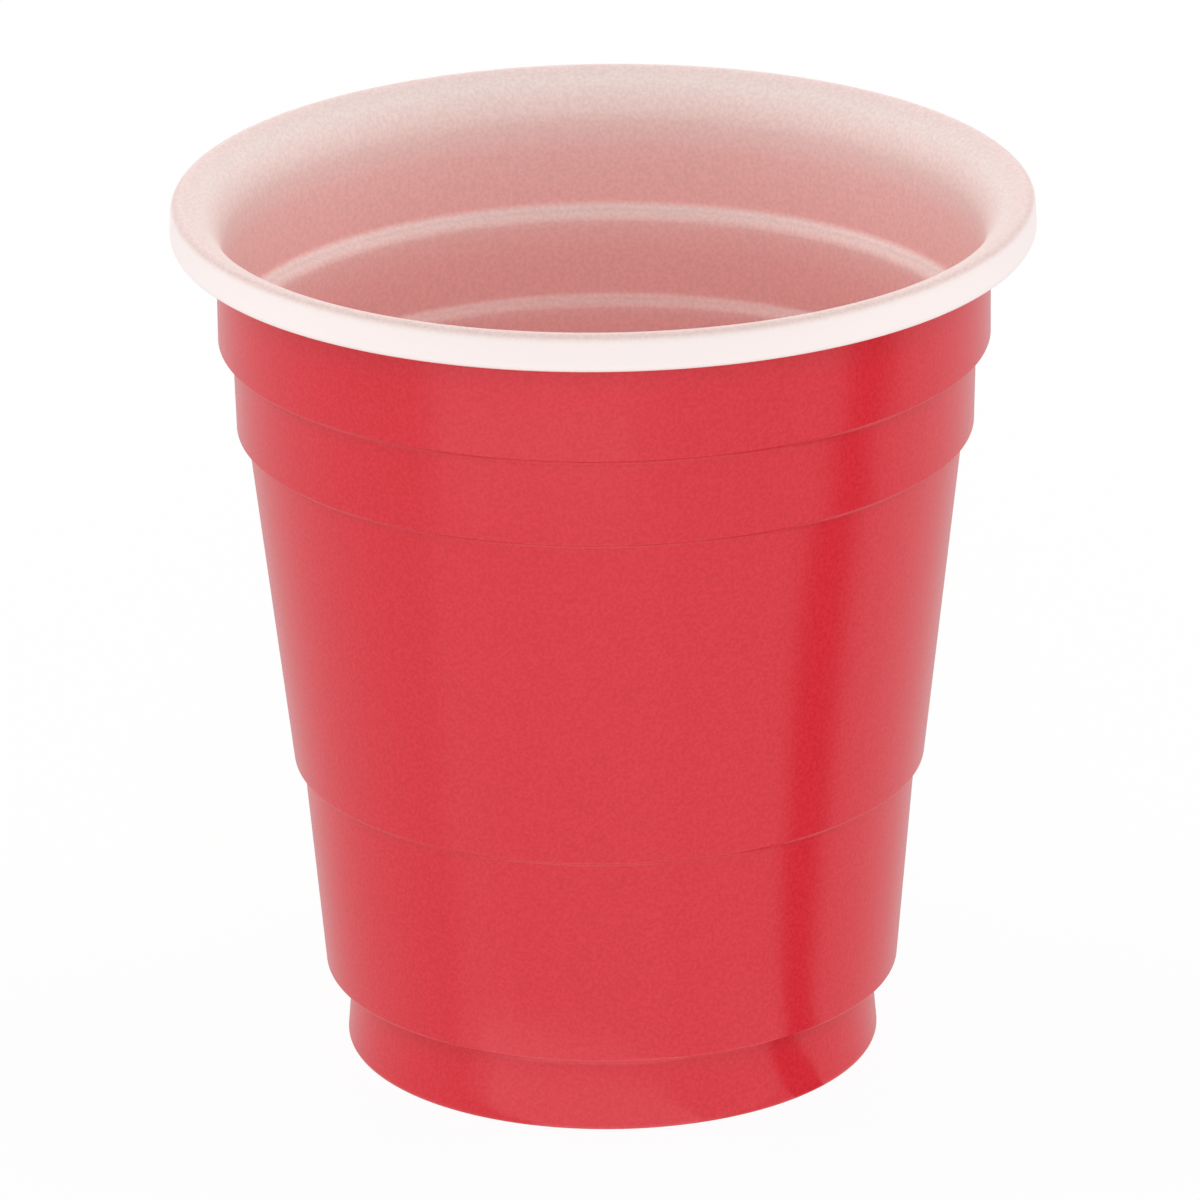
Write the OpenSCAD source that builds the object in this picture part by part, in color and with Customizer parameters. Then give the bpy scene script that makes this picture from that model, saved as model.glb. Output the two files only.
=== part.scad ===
// Plastic shot glass: one drawn sheet, red outside and white inside, with a rolled rim, a stepped wall and a
// foot ring. Millimetres, +Z up, origin at the middle of the base.
// The wall is a closed section of one sheet, turned about Z. Radii come down from the rim, and heights from both ends.

/* [Overall] */
// Diameter over the rolled rim
rim_d = 54; // [50:0.5:60]
// Height from the foot ring to the top of the rim
cup_h = 56.2; // [50:0.1:66]
// Thickness of the sheet
sheet_t = 0.35; // [0.2:0.05:0.4]

/* [Rolled rim] */
// Overhang of the rim past the collar
lip_w = 2.85; // [2.5:0.05:4]
// Height of the rim from its top to its lower edge
lip_h = 2.3; // [2:0.05:3.5]
// Distance in from the rim's edge to its highest line
crest_in = 0.65; // [0.6:0.05:1]
// Radius of the flare that leads from the collar up to the rim
flare_r = 3.2; // [2.4:0.1:5]
// Radius of the roll over the top
roll_r = 0.6; // [0.5:0.05:0.9]
// Radius of the curl at the lower edge
curl_r = 0.5; // [0.42:0.02:0.7]
// Gap between the collar and the edge that is tucked in under the rim
tuck_gap = 0.9; // [0.7:0.05:1.2]

/* [Collar] */
// Height from the top of the rim to the lower end of the collar
collar_h = 9; // [7:0.1:12]
// Inward step below the collar
collar_step = 0.9; // [0.5:0.05:1.5]
// Height of the ledge that makes that step
collar_ledge_h = 0.3; // [0.2:0.05:1.2]

/* [Upper band] */
// Height of the band below the collar
upper_h = 5.5; // [3:0.1:8]
// Draft of that band, in degrees
upper_draft = 1.5; // [0:0.1:4]
// Inward step below it
upper_step = 0.66; // [0.45:0.01:1.2]
// Height of the ledge that makes that step
upper_ledge_h = 0.25; // [0.15:0.05:1]

/* [Middle band] */
// Draft of the tall band, in degrees
middle_draft = 6.5; // [4:0.1:8]
// Inward step below it
middle_step = 0.56; // [0.45:0.01:1.2]
// Height of the ledge that makes that step
middle_ledge_h = 0.2; // [0.15:0.05:1]

/* [Lower band] */
// Height of the band above the shoulder
lower_h = 13.8; // [9:0.05:17]
// Draft of that band, in degrees
lower_draft = 5; // [3:0.1:8]

/* [Foot] */
// Inward step from the shoulder to the foot
shoulder_w = 1.65; // [1:0.05:2.4]
// Height of the ledge that makes that step
shoulder_h = 0.55; // [0.3:0.05:2]
// Height of the foot below the shoulder
foot_h = 4.7; // [2.4:0.05:6]
// Outward spread of the foot at its lower edge
foot_spread = 0.4; // [0:0.05:0.6]
// Width of the flat ring that the cup stands on
ring_w = 1.3; // [1.1:0.05:2.2]
// Inward run of the slope from that ring up to the floor
panel_slope_w = 1.2; // [0.8:0.05:2]
// Height of the floor's underside above the ring
panel_h = 1.2; // [0.7:0.05:1.8]

/* [Rounding] */
// Outer radius where a band ends above a ledge
ledge_round = 0.4; // [0.2:0.02:0.5]
// Outer radius where a ledge meets the band below it
ledge_nook = 0.25; // [0.05:0.01:0.35]
// Outer radius at the edge of the shoulder
shoulder_round = 0.5; // [0.3:0.05:1.2]
// Outer radius at the lower edge of the foot
foot_round = 0.45; // [0.41:0.01:0.6]

/* [Hidden] */
$fn = 180;
// Steps along each rounded corner of the section
corner_steps = 6;
// Steps along each arc of the rim
arc_steps = 9;
// Directions in which the curl leaves the lower edge and the sheet's end points, in degrees
tuck_a = -100;
end_a = -170;

// Heights, the lower ones from the ring up and the upper ones from the rim down
shoulder_z = foot_h + shoulder_h;
lower_top_z = shoulder_z + lower_h;
middle_foot_z = lower_top_z + middle_ledge_h;
collar_z = cup_h - collar_h;
upper_top_z = collar_z - collar_ledge_h;
upper_foot_z = upper_top_z - upper_h;
middle_top_z = upper_foot_z - upper_ledge_h;
middle_h = middle_top_z - middle_foot_z;

// Radii of the outer face, from the rim down
rim_r = rim_d / 2;
collar_r = rim_r - lip_w;
upper_top_r = collar_r - collar_step;
upper_foot_r = upper_top_r - upper_h * tan(upper_draft);
middle_top_r = upper_foot_r - upper_step;
middle_foot_r = middle_top_r - middle_h * tan(middle_draft);
lower_top_r = middle_foot_r - middle_step;
lower_foot_r = lower_top_r - lower_h * tan(lower_draft);
foot_top_r = lower_foot_r - shoulder_w;
foot_r = foot_top_r + foot_spread;

// Centres of the rim's arcs. The flare touches the collar's inner face and the roll.
roll_c = [rim_r - crest_in, cup_h - roll_r];
flare_c_r = collar_r - sheet_t + flare_r;
flare_drop = sqrt(pow(flare_r - roll_r, 2) - pow(flare_c_r - roll_c.x, 2));
flare_c = [flare_c_r, roll_c.y - flare_drop];
curl_c = [rim_r - curl_r, cup_h - lip_h + curl_r];
tuck_run = curl_c.x - (collar_r + tuck_gap + curl_r);
tuck_c = curl_c + tuck_run * [-1, cos(tuck_a) / sin(tuck_a)];

// Direction from the roll's centre to where the flare hands over to it
crest_a = atan2(roll_c.y - flare_c.y, roll_c.x - flare_c.x);
// Direction of the rim's outer face, a straight line that touches the roll and the curl
face_a = atan2(curl_c.y - roll_c.y, curl_c.x - roll_c.x)
    + acos((roll_r - curl_r) / norm(curl_c - roll_c));

// Corners of the sheet's outer face, from the middle of the floor to the flare: radius, height, rounding
wall = [
    [0, panel_h, 0],
    [foot_r - ring_w - panel_slope_w, panel_h, ledge_nook],
    [foot_r - ring_w, 0, foot_round],
    [foot_r, 0, foot_round],
    [foot_top_r, foot_h, ledge_nook],
    [lower_foot_r, shoulder_z, shoulder_round],
    [lower_top_r, lower_top_z, ledge_nook],
    [middle_foot_r, middle_foot_z, ledge_round],
    [middle_top_r, middle_top_z, ledge_nook],
    [upper_foot_r, upper_foot_z, ledge_round],
    [upper_top_r, upper_top_z, ledge_nook],
    [collar_r, collar_z, ledge_round],
    [collar_r, flare_c.y, 0]
];

function point(v) = [v.x, v.y];
function unit(v) = v / norm(v);
function left(v) = [-v.y, v.x];
function turn(u, v) = u.x * v.y - u.y * v.x;
function reversed(list) = [for (i = [len(list) - 1:-1:0]) list[i]];

// Direction of the stretch that starts at corner i of a path
function heading(path, i) = unit(point(path[i + 1]) - point(path[i]));

// Corner i moved to the sheet's inner face, with the rounding that keeps the thickness even
function inner_corner(path, i) =
    let (last = len(path) - 1,
         u = heading(path, max(i - 1, 0)),
         v = heading(path, min(i, last - 1)),
         side = turn(u, v) > 0 ? -1 : 1,
         moved = point(path[i]) + sheet_t * (left(u) + left(v)) / (1 + u * v))
    [moved.x, moved.y, path[i][2] == 0 ? 0 : max(path[i][2] + side * sheet_t, 0.05)];

// Arc that rounds corner i, or the corner itself
function corner(path, i) =
    let (p = point(path[i]), rounding = path[i][2])
    rounding == 0 || i == 0 || i == len(path) - 1 ? [p] :
    let (u = heading(path, i - 1),
         v = heading(path, i),
         side = sign(turn(u, v)),
         half = acos(min(u * v, 1)) / 2,
         start = p - u * rounding * tan(half),
         centre = start + side * left(u) * rounding,
         first = atan2(start.y - centre.y, start.x - centre.x))
    arc(centre, rounding, first, first + side * 2 * half, corner_steps);

function rounded(path) = [for (i = [0:len(path) - 1]) each corner(path, i)];

function arc(centre, radius, from, to, steps) =
    [for (i = [0:steps])
        let (a = from + (to - from) * i / steps)
        centre + radius * [cos(a), sin(a)]];

// A list of points without its two ends, which the stretches on either side already hold
function middle(list) = [for (i = [1:len(list) - 2]) list[i]];

// One face of the rim: the flare, the roll over the top, the curl below and the tuck, at a depth into the sheet
function rim_face(depth) = concat(
    middle(arc(flare_c, flare_r - depth, 180, crest_a, arc_steps)),
    arc(roll_c, roll_r - depth, crest_a, face_a, arc_steps),
    arc(curl_c, curl_r - depth, face_a, tuck_a, arc_steps),
    arc(tuck_c, curl_r - depth, tuck_a, end_a, arc_steps));

module sheet_section() {
    inner_wall = [for (i = [0:len(wall) - 1]) inner_corner(wall, i)];
    polygon(concat(rounded(wall), rim_face(sheet_t), reversed(rim_face(0)), reversed(rounded(inner_wall))));
}

module shot_cup() {
    color("#cf2435") rotate_extrude() sheet_section();
}

shot_cup();
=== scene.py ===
import math
import bpy
from mathutils import Matrix, Vector


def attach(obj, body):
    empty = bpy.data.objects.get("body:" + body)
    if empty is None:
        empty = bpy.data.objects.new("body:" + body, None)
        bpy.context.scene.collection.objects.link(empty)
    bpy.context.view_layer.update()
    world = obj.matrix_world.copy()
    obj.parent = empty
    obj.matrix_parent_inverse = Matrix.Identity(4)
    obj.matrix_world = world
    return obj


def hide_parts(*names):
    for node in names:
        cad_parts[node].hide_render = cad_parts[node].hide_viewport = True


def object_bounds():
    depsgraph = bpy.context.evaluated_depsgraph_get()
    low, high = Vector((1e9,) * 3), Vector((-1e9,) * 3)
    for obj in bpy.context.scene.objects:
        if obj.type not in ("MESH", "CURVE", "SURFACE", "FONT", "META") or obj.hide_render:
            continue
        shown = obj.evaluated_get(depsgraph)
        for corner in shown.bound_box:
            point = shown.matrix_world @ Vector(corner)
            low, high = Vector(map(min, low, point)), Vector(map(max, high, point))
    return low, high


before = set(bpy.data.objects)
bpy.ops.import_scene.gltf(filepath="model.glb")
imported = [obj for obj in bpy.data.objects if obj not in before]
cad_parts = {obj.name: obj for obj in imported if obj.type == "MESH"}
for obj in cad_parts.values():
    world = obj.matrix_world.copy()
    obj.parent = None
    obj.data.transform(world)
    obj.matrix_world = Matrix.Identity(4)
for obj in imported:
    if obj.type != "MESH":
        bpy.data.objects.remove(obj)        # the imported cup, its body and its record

cadLow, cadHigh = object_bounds()
mm = 0.001
print("frame loaded, CAD box", [round(v / mm, 2) for v in cadHigh - cadLow], "mm")


def clearSelection():
    bpy.ops.object.select_all(action="DESELECT")


def linear(hexColour):
    # sRGB hex to the linear numbers that the shaders take
    parts = [int(hexColour[i:i + 2], 16) / 255 for i in (1, 3, 5)]
    return [p / 12.92 if p <= 0.04045 else ((p + 0.055) / 1.055) ** 2.4 for p in parts] + [1.0]


def addNode(tree, kind, settings=None, inputs=None):
    # settings are the node's own properties; an input is a number, a colour or another node's socket
    node = tree.nodes.new(kind)
    for name, value in (settings or {}).items():
        setattr(node, name, value)
    for name, value in (inputs or {}).items():
        if isinstance(value, bpy.types.NodeSocket):
            tree.links.new(value, node.inputs[name])
        else:
            node.inputs[name].default_value = value
    return node


def newMaterial(name):
    material = bpy.data.materials.new(name)
    material.use_nodes = True
    material.node_tree.nodes.clear()
    return material


# camera

cameraView = {
    "height": 20.64,                  # degrees above the horizon
    "tilt": 0.709,                    # degrees, right side of the picture up
    "aim": (-0.48, 0, 29.2),          # mm
    "distance": 683.2,                # mm
    "lens": 324.8,
}
aim = Vector(cameraView["aim"]) * mm
height = math.radians(cameraView["height"])
back = Vector((0, -math.cos(height), math.sin(height)))
bpy.ops.object.camera_add()
camera = bpy.context.object
camera.data.lens = cameraView["lens"]
camera.matrix_world = (
    Matrix.Translation(aim + back * cameraView["distance"] * mm)
    @ Matrix.Rotation(math.pi / 2 - height, 4, "X")
    @ Matrix.Rotation(-math.radians(cameraView["tilt"]), 4, "Z")
)
bpy.context.scene.camera = camera
bpy.context.scene.view_settings.view_transform = "Standard"
print("camera placed")


# floor, world and lamps

studio = {
    "floorSize": 6.0,                 # m
    "floorDrop": 0.02,                # mm under the foot ring, so that the two faces don't meet
    "floorColour": "#EDEDED",
    "whiteSeen": 0.94,                # how much of the floor the camera sees as plain white
    "whiteInGloss": 0.8,              # the same for reflections
    "greyInGloss": 0.63,              # and how bright that is
    "bounce": 1.05,                   # how bright the floor is for the light it throws back up at the cup
    "fill": 0.45,
}
clearSelection()
bpy.ops.mesh.primitive_plane_add(size=studio["floorSize"], location=(0, 0, -studio["floorDrop"] * mm))
floor = bpy.context.object
floor.name = "studio_floor"
floorMaterial = newMaterial("matt white studio floor")
tree = floorMaterial.node_tree
paper = addNode(tree, "ShaderNodeBsdfDiffuse", None, {"Color": linear(studio["floorColour"])})
rays = addNode(tree, "ShaderNodeLightPath")
inGloss = addNode(tree, "ShaderNodeMath", {"operation": "ADD"},
                  {0: rays.outputs["Is Glossy Ray"], 1: rays.outputs["Is Transmission Ray"]})
glossGlow = addNode(tree, "ShaderNodeMath", {"operation": "MULTIPLY_ADD"},
                    {0: inGloss.outputs[0], 1: studio["greyInGloss"], 2: rays.outputs["Is Camera Ray"]})
glow = addNode(tree, "ShaderNodeMath", {"operation": "MULTIPLY_ADD"},
               {0: rays.outputs["Is Diffuse Ray"], 1: studio["bounce"], 2: glossGlow.outputs[0]})
white = addNode(tree, "ShaderNodeEmission", None, {"Strength": glow.outputs[0]})
glossShare = addNode(tree, "ShaderNodeMath", {"operation": "MULTIPLY_ADD"},
                     {0: inGloss.outputs[0], 1: studio["whiteInGloss"], 2: rays.outputs["Is Diffuse Ray"]})
share = addNode(tree, "ShaderNodeMath", {"operation": "MULTIPLY_ADD"},
                {0: rays.outputs["Is Camera Ray"], 1: studio["whiteSeen"], 2: glossShare.outputs[0]})
floorMix = addNode(tree, "ShaderNodeMixShader", None,
                   {0: share.outputs[0], 1: paper.outputs[0], 2: white.outputs[0]})
addNode(tree, "ShaderNodeOutputMaterial", None, {"Surface": floorMix.outputs[0]})
floorMaterial.cycles.emission_sampling = "NONE"      # so that Light Path knows each ray that meets it
floor.data.materials.append(floorMaterial)

world = bpy.data.worlds.new("white studio")
world.use_nodes = True
tree = world.node_tree
tree.nodes.clear()
rays = addNode(tree, "ShaderNodeLightPath")
seenOrGloss = addNode(tree, "ShaderNodeMath", {"operation": "ADD"},
                      {0: rays.outputs["Is Camera Ray"], 1: rays.outputs["Is Glossy Ray"]})
seen = addNode(tree, "ShaderNodeMath", {"operation": "ADD"},
               {0: seenOrGloss.outputs[0], 1: rays.outputs["Is Transmission Ray"]})
fillLight = addNode(tree, "ShaderNodeBackground", None, {"Strength": studio["fill"]})
whiteSky = addNode(tree, "ShaderNodeBackground", None, {"Strength": 1.0})
for node in (fillLight, whiteSky):
    node.inputs["Color"].default_value = (1, 1, 1, 1)
skyMix = addNode(tree, "ShaderNodeMixShader", None,
                 {0: seen.outputs[0], 1: fillLight.outputs[0], 2: whiteSky.outputs[0]})
addNode(tree, "ShaderNodeOutputWorld", None, {"Surface": skyMix.outputs[0]})
bpy.context.scene.world = world

# softboxes: direction from +X towards +Y and height in degrees, distance and size in metres, power in watts
softboxes = {
    "front box": (-90, 22, 1.1, 0.8, 4.6),
    "left box": (168, 30, 1.1, 0.8, 4.8),
    "right box": (12, 30, 1.1, 0.8, 4.5),
    "back box": (90, 35, 1.1, 0.8, 4.4),
}
for name, (around, up, distance, size, power) in softboxes.items():
    away = Vector((math.cos(math.radians(around)), math.sin(math.radians(around)), 0))
    away = away * math.cos(math.radians(up)) + Vector((0, 0, math.sin(math.radians(up))))
    bpy.ops.object.light_add(type="AREA", location=aim + away * distance)
    lamp = bpy.context.object
    lamp.name = name
    lamp.data.shape = "SQUARE"
    lamp.data.size = size
    lamp.data.energy = power
    lamp.rotation_euler = away.to_track_quat("Z", "Y").to_euler()

# glowing cards that lie in front of the cup and show only in its gloss: painted reflections of a floor lit
# brighter in patches, and in the dim right card a painted shadow of the cup on the floor: how bright, and
# corners on the floor in mm
cards = {
    "left_card": (0.94, [(-14, -16), (-26, -24), (-35, -27), (-59, -42.5), (-94, -80), (-127, -104),
                         (-250, -190), (-250, -420), (-130, -420), (-5, -16)]),
    "middle_card": (0.98, [(-5, -16), (-130, -420), (130, -420), (5, -16)]),
    "near_right_card": (0.9, [(5, -16), (130, -420), (350, -420), (12, -14)]),
    "far_right_card": (0.83, [(12, -14), (350, -420), (420, -420), (420, -125), (150, -49), (114, -41),
                              (73, -35), (51, -31), (35, -23.5), (23, -18.3), (14, -13.7)]),
    "patch_card": (1.45, [(-79, -74), (-37, -101), (15, -107), (20, -141), (-49, -133), (-104, -97)]),
    "high_card": (1.05, [(-124, -107), (-56, -155), (-14, -164), (-20, -229), (-100, -206), (-170, -150)]),
    "foot_card": (1.3, [(-10.5, -16.5), (-14.2, -19.6), (-16.5, -21.5), (-14.5, -23.5), (-7.5, -26),
                        (1, -26), (5, -23), (6, -16)]),
    # painted shadow: the cup's own shadow on the floor, as its gloss would show it
    "right_card": (0.14, [(12.6, -10.4), (11, -12.2), (14, -13.7), (23, -18.3), (35, -23.5), (51, -31),
                          (73, -35), (114, -41), (150, -49), (220, -66), (220, 10), (150, 6), (118, -13),
                          (80, -9.5), (58, -13), (38, -13), (23, -13), (17, -10.5)]),
}
cardStack = {"lowest": 0.1, "step": 0.02}      # heights above the foot ring, mm
for layer, (name, (brightness, corners)) in enumerate(cards.items()):
    clearSelection()
    bpy.ops.mesh.primitive_circle_add(vertices=len(corners), radius=mm, fill_type="NGON")
    card = bpy.context.object
    card.name = name
    for vertex, (x, y) in zip(card.data.vertices, corners):
        vertex.co = (x * mm, y * mm, (cardStack["lowest"] + cardStack["step"] * layer) * mm)
    cardMaterial = newMaterial(name)
    cardGlow = addNode(cardMaterial.node_tree, "ShaderNodeEmission", None, {"Strength": brightness})
    addNode(cardMaterial.node_tree, "ShaderNodeOutputMaterial", None, {"Surface": cardGlow.outputs[0]})
    cardMaterial.cycles.emission_sampling = "NONE"
    card.data.materials.append(cardMaterial)
    card.visible_camera = card.visible_diffuse = card.visible_shadow = False
print("floor, world and", len(softboxes), "softboxes placed")


# the cup: one ring drawn out from the middle of the floor, up the red face and round the rim

cup = {
    "sheet": 0.35,
    "turns": 256,                     # vertices in each ring
    # underside and foot: height, then radius, of the red face
    "panel": (1.2, 14.43),
    "ringInner": (0, 15.63),
    "ringOuter": (0, 16.93),
    "footTop": (4.7, 16.53),
    "shoulder": (5.25, 18.18),
    "lowerTop": (19.05, 19.387),
    "middleFoot": (19.25, 19.947),
    "middleTop": (41.15, 22.442),
    "upperFoot": (41.4, 23.102),
    "upperTop": (46.9, 23.246),
    "collarFoot": (47.2, 24.146),
    # rim: radii of the white face
    "flare": 3.2,
    "crestIn": 0.65,
    "roll": 0.6,
    "curl": 0.5,
    "lipHeight": 2.38,
    "tuckGap": 0.9,
    "tuckTurn": (-100, -170),
    "boxGap": 0.002,                  # how far the rim stays inside the CAD box
    "cornerSteps": 6,
    "smoothAngle": 40,                # degrees
}
# corners that get rounded, with the radius on the red face and on the white face
rounding = {
    "panel": (0.25, 0.6),
    "ringInner": (0.45, 0.25),
    "ringOuter": (0.45, 0.25),
    "footTop": (0.5, 1.2),
    "shoulder": (0.3, 0.8),
    "lowerTop": (0.3, 0.5),
    "middleFoot": (0.2, 0.35),
    "middleTop": (0.4, 0.6),
    "upperFoot": (0.12, 0.4),
    "upperTop": (0.5, 0.75),
    "collarFoot": (0.12, 0.55),
}
rimRadius = min(cadHigh.x, cadHigh.y, -cadLow.x, -cadLow.y) / mm - cup["boxGap"]
rimTop = cadHigh.z / mm


def arcRings(centre, radius, start, end, steps):
    # rings along an arc of the section, each as height and radius
    angles = [math.radians(start + (end - start) * i / steps) for i in range(steps + 1)]
    return [(centre[0] + radius * math.sin(a), centre[1] + radius * math.cos(a)) for a in angles]


def rimRings():
    # the red face of the rim, from the foot of the flare to the sheet's end
    sheet = cup["sheet"]
    roll = (rimTop - cup["roll"], rimRadius - cup["crestIn"])
    flareRadius = cup["collarFoot"][1] - sheet + cup["flare"]
    drop = math.sqrt((cup["flare"] - cup["roll"]) ** 2 - (flareRadius - roll[1]) ** 2)
    flare = (roll[0] - drop, flareRadius)
    curl = (rimTop - cup["lipHeight"] + cup["curl"], rimRadius - cup["curl"])
    crest = math.degrees(math.atan2(roll[0] - flare[0], roll[1] - flare[1]))
    reach = math.hypot(curl[0] - roll[0], curl[1] - roll[1])
    face = math.degrees(math.atan2(curl[0] - roll[0], curl[1] - roll[1])
                        + math.acos((cup["roll"] - cup["curl"]) / reach))
    tuckStart, tuckEnd = cup["tuckTurn"]
    run = curl[1] - (cup["collarFoot"][1] + cup["tuckGap"] + cup["curl"])
    tuck = (curl[0] + run / math.tan(math.radians(tuckStart)), curl[1] - run)
    return (arcRings(flare, cup["flare"] - sheet, 180, crest, 16)
            + arcRings(roll, cup["roll"] - sheet, crest, face, 10)[1:]
            + arcRings(curl, cup["curl"] - sheet, face, tuckStart, 8)
            + arcRings(tuck, cup["curl"] - sheet, tuckStart, tuckEnd, 6))


def drawRing(height, radius, lastHeight, lastRadius):
    # one more ring: the open edge is drawn up, then let out or in
    bpy.ops.mesh.extrude_edges_move(TRANSFORM_OT_translate={"value": (0, 0, (height - lastHeight) * mm)})
    bpy.ops.transform.resize(value=(radius / lastRadius, radius / lastRadius, 1), center_override=(0, 0, 0))


def selectRing(mesh, height, radius, reach=0.002):
    # the edges of one ring, chosen by their place
    bpy.ops.object.mode_set(mode="OBJECT")
    onRing = [abs(v.co.z - height * mm) < reach * mm and abs(v.co.xy.length - radius * mm) < reach * mm
              for v in mesh.vertices]
    for polygon in mesh.polygons:
        polygon.select = False
    for vertex, on in zip(mesh.vertices, onRing):
        vertex.select = on
    for edge in mesh.edges:
        edge.select = all(onRing[i] for i in edge.vertices)
    bpy.ops.object.mode_set(mode="EDIT")


def roundRing(mesh, before, ring, after, radius, reach=0.002):
    # one ring of the section, rounded between its two neighbours
    halfTurn = (Vector(ring) - Vector(before)).angle(Vector(after) - Vector(ring)) / 2
    selectRing(mesh, *ring, reach)
    bpy.ops.mesh.bevel(offset=radius * math.tan(halfTurn) * mm, segments=cup["cornerSteps"],
                       profile=0.5, affect="EDGES")


def whiteRing(before, ring, after):
    # where a corner of the red face comes out on the white face
    into = (Vector(ring) - Vector(before)).normalized()
    out = (Vector(after) - Vector(ring)).normalized()
    inward = Vector((into.y + out.y, -into.x - out.x))
    return tuple(Vector(ring) + inward * cup["sheet"] / (1 + into.dot(out)))


clearSelection()
wallRings = [cup[name] for name in rounding]
startHeight, startRadius = wallRings[0]
bpy.ops.mesh.primitive_circle_add(vertices=cup["turns"], radius=startRadius * mm, fill_type="TRIFAN",
                                  location=(0, 0, startHeight * mm))
shell = bpy.context.object
shell.name = "drawn_cup"
bpy.ops.object.transform_apply(location=True, rotation=True, scale=True)
bpy.ops.object.mode_set(mode="EDIT")
bpy.ops.mesh.select_mode(type="EDGE")
bpy.ops.mesh.select_all(action="DESELECT")
selectRing(shell.data, startHeight, startRadius)
lastRing = wallRings[0]
for ring in wallRings[1:] + rimRings():
    drawRing(*ring, *lastRing)
    lastRing = ring
bpy.ops.mesh.select_all(action="SELECT")
bpy.ops.mesh.remove_doubles(threshold=0.001 * mm)
bpy.ops.mesh.normals_make_consistent(inside=False)
bpy.ops.object.mode_set(mode="OBJECT")
lowest = min(shell.data.polygons, key=lambda p: p.center.z)
if lowest.normal.z > 0:               # the red face looks out and down
    bpy.ops.object.mode_set(mode="EDIT")
    bpy.ops.mesh.flip_normals()
    bpy.ops.object.mode_set(mode="OBJECT")
print("red face drawn,", len(shell.data.polygons), "faces")

sheetModifier = shell.modifiers.new("sheet", "SOLIDIFY")
sheetModifier.thickness = cup["sheet"] * mm
sheetModifier.offset = -1
sheetModifier.use_even_offset = True
sheetModifier.use_quality_normals = True
sheetModifier.material_offset = 1
sheetModifier.material_offset_rim = 1


# materials

# Red polystyrene, extruded as sheet and drawn in a cold mould: a deep even red under a smooth gloss that
# is a little soft, with the fine grain of the sheet in it
redSheet = {
    "deep": "#CA041B",
    "light": "#D4182E",
    "grainSize": 0.22,                # mm
    "grainRange": (0.38, 0.62),
    "roughness": 0.24,
    "ior": 1.59,
    "bump": 0.004,                    # mm
}
redPlastic = newMaterial("drawn red polystyrene")
tree = redPlastic.node_tree
place = addNode(tree, "ShaderNodeTexCoord").outputs["Object"]
grain = addNode(tree, "ShaderNodeTexNoise", None,
                {"Vector": place, "Scale": 1 / (redSheet["grainSize"] * mm),
                 "Detail": 2.0, "Roughness": 0.6})
grainTone = addNode(tree, "ShaderNodeMapRange", None,
                    {"Value": grain.outputs[0], "From Min": redSheet["grainRange"][0],
                     "From Max": redSheet["grainRange"][1]})
redTone = addNode(tree, "ShaderNodeMix", {"data_type": "RGBA"},
                  {0: grainTone.outputs[0], 6: linear(redSheet["deep"]), 7: linear(redSheet["light"])})
grainBump = addNode(tree, "ShaderNodeBump", None,
                    {"Height": grain.outputs[0], "Distance": redSheet["bump"] * mm, "Strength": 1.0})
redShader = addNode(tree, "ShaderNodeBsdfPrincipled", None,
                    {"Base Color": redTone.outputs[2], "Roughness": redSheet["roughness"],
                     "IOR": redSheet["ior"], "Normal": grainBump.outputs[0]})
addNode(tree, "ShaderNodeOutputMaterial", None, {"Surface": redShader.outputs[0]})

# White polystyrene skin on the same sheet: thick and near white on the rim, which isn't drawn, and thinner
# down the wall, where the red behind it shows through as pink, less so on the ledges and the floor. Part of
# the lighter tone near the rim and on the ledges is painted light, and the crest carries a painted shade
whiteSkin = {
    # the bead's near-white tone is partly its thick undrawn skin, partly a painted highlight on the outer
    # face that turns to the lamps
    "bead": "#F0E5E3",
    "beadEdge": (26.7, 26.99),        # radii in mm between which the bead's tone sets in
    # height in mm and tone, from the floor up to the crest of the rim
    "tones": [
        (0, "#F1CAC6"), (2.2, "#F1C4C0"), (5.5, "#EEB2AF"), (9, "#EEACA9"),
        # lighter bands at the two ledges (about 41.5 and 47.3 mm): partly a thicker skin, partly painted
        # light where the ledges face up
        (40.3, "#EEAFAB"), (40.8, "#EEB6B2"), (41.2, "#EEC0BB"), (41.5, "#EFCCC7"),
        (41.65, "#EFCCC7"), (41.8, "#EEB9B4"), (42.1, "#EEB2AE"), (44.7, "#EEB2AE"), (45.7, "#EEB8B4"),
        (46.3, "#EEBCB7"), (46.7, "#EEC6C1"), (47.1, "#EFD0CB"), (47.3, "#F0DCD7"), (47.48, "#F0DAD5"),
        # from about 50 mm up the tone lightens towards the rim: partly a thicker skin, partly painted light
        # falling in over the rim; the last, darker stop is a painted shade on the crest
        (47.6, "#EEC6C1"), (47.8, "#EEB9B5"), (50.2, "#EEBFBA"), (51.2, "#EEC1BC"), (52.3, "#EECDC8"),
        (53.4, "#EED7D2"), (54.5, "#EDD7D2"), (55.6, "#ECDBD6"), (56.2, "#E2C8C3"),
    ],
    "grain": "#F5F2F1",
    "grainSize": 0.25,                # mm
    "grainRange": (0.38, 0.62),
    "roughness": 0.6,
    "ior": 1.59,
    "bump": 0.004,                    # mm
}
whitePlastic = newMaterial("drawn white polystyrene")
tree = whitePlastic.node_tree
place = addNode(tree, "ShaderNodeTexCoord").outputs["Object"]
axes = addNode(tree, "ShaderNodeSeparateXYZ", None, {0: place})
flat = addNode(tree, "ShaderNodeCombineXYZ", None, {0: axes.outputs[0], 1: axes.outputs[1]})
fromAxis = addNode(tree, "ShaderNodeVectorMath", {"operation": "LENGTH"}, {0: flat.outputs[0]})
upWall = addNode(tree, "ShaderNodeMapRange", None,
                 {"Value": axes.outputs[2], "From Min": 0, "From Max": rimTop * mm})
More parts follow.
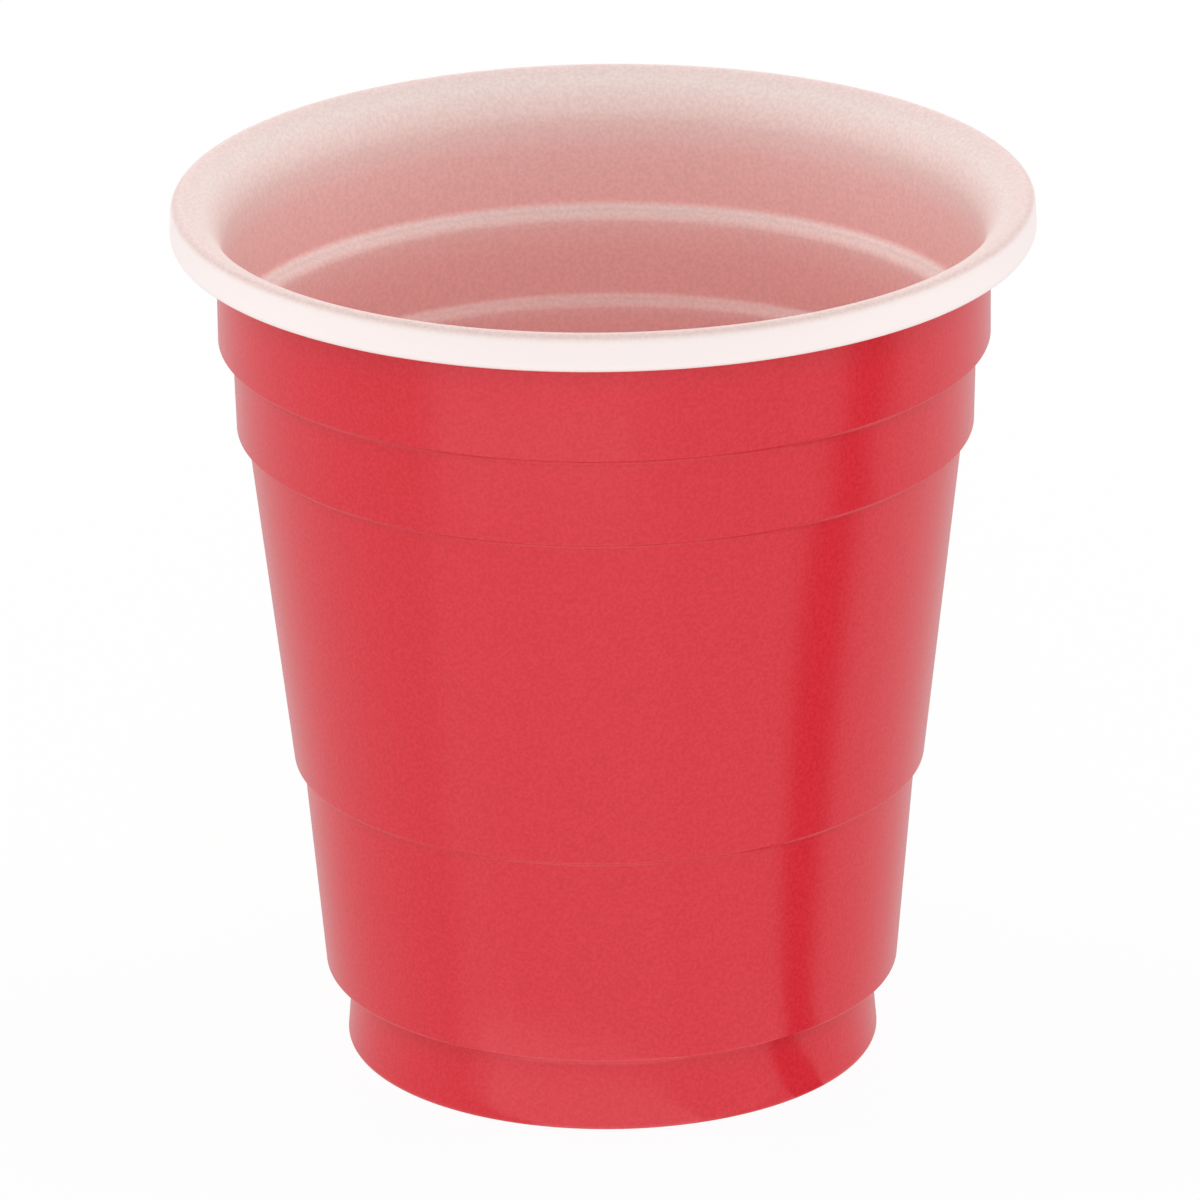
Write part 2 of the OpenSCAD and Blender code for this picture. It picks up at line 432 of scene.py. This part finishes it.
wallTone = addNode(tree, "ShaderNodeValToRGB", None, {0: upWall.outputs[0]})
ramp = wallTone.color_ramp
for i, (z, tone) in enumerate(whiteSkin["tones"]):
    stop = ramp.elements[i] if i < 2 else ramp.elements.new(1)
    stop.position = min(z / rimTop, 1)
    stop.color = linear(tone)
# beyond this radius the bead tone takes over: partly thick skin, partly a painted highlight
onBead = addNode(tree, "ShaderNodeMapRange", {"interpolation_type": "SMOOTHSTEP"},
                 {"Value": fromAxis.outputs["Value"], "From Min": whiteSkin["beadEdge"][0] * mm,
                  "From Max": whiteSkin["beadEdge"][1] * mm})
grain = addNode(tree, "ShaderNodeTexNoise", None,
                {"Vector": place, "Scale": 1 / (whiteSkin["grainSize"] * mm),
                 "Detail": 2.0, "Roughness": 0.6})
grainTone = addNode(tree, "ShaderNodeMapRange", None,
                    {"Value": grain.outputs[0], "From Min": whiteSkin["grainRange"][0],
                     "From Max": whiteSkin["grainRange"][1]})
grainedTone = addNode(tree, "ShaderNodeMix", {"data_type": "RGBA", "blend_type": "MULTIPLY"},
                      {0: grainTone.outputs[0], 6: wallTone.outputs[0], 7: linear(whiteSkin["grain"])})
skinTone = addNode(tree, "ShaderNodeMix", {"data_type": "RGBA"},
                   {0: onBead.outputs[0], 6: grainedTone.outputs[2], 7: linear(whiteSkin["bead"])})
grainBump = addNode(tree, "ShaderNodeBump", None,
                    {"Height": grain.outputs[0], "Distance": whiteSkin["bump"] * mm, "Strength": 1.0})
whiteShader = addNode(tree, "ShaderNodeBsdfPrincipled", None,
                      {"Base Color": skinTone.outputs[2], "Roughness": whiteSkin["roughness"],
                       "IOR": whiteSkin["ior"], "Normal": grainBump.outputs[0]})
addNode(tree, "ShaderNodeOutputMaterial", None, {"Surface": whiteShader.outputs[0]})

shell.data.materials.append(redPlastic)
shell.data.materials.append(whitePlastic)
bpy.context.view_layer.objects.active = shell
bpy.ops.object.modifier_apply(modifier=sheetModifier.name)
section = [(startHeight, 0)] + wallRings + rimRings()[:1]
bpy.ops.object.mode_set(mode="EDIT")
for i, (redRadius, whiteRadius) in enumerate(rounding.values(), 1):
    before, ring, after = section[i - 1:i + 2]
    roundRing(shell.data, before, ring, after, redRadius)
    inside = whiteRing(before, ring, after)
    turnedBefore = Vector(inside) + Vector(before) - Vector(ring)
    turnedAfter = Vector(inside) + Vector(after) - Vector(ring)
    roundRing(shell.data, turnedBefore, inside, turnedAfter, whiteRadius, reach=0.02)
bpy.ops.object.mode_set(mode="OBJECT")
clearSelection()
shell.select_set(True)
bpy.ops.object.shade_smooth_by_angle(angle=math.radians(cup["smoothAngle"]))
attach(shell, "root")
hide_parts("shot_cup")
print("cup finished,", len(shell.data.polygons), "faces")
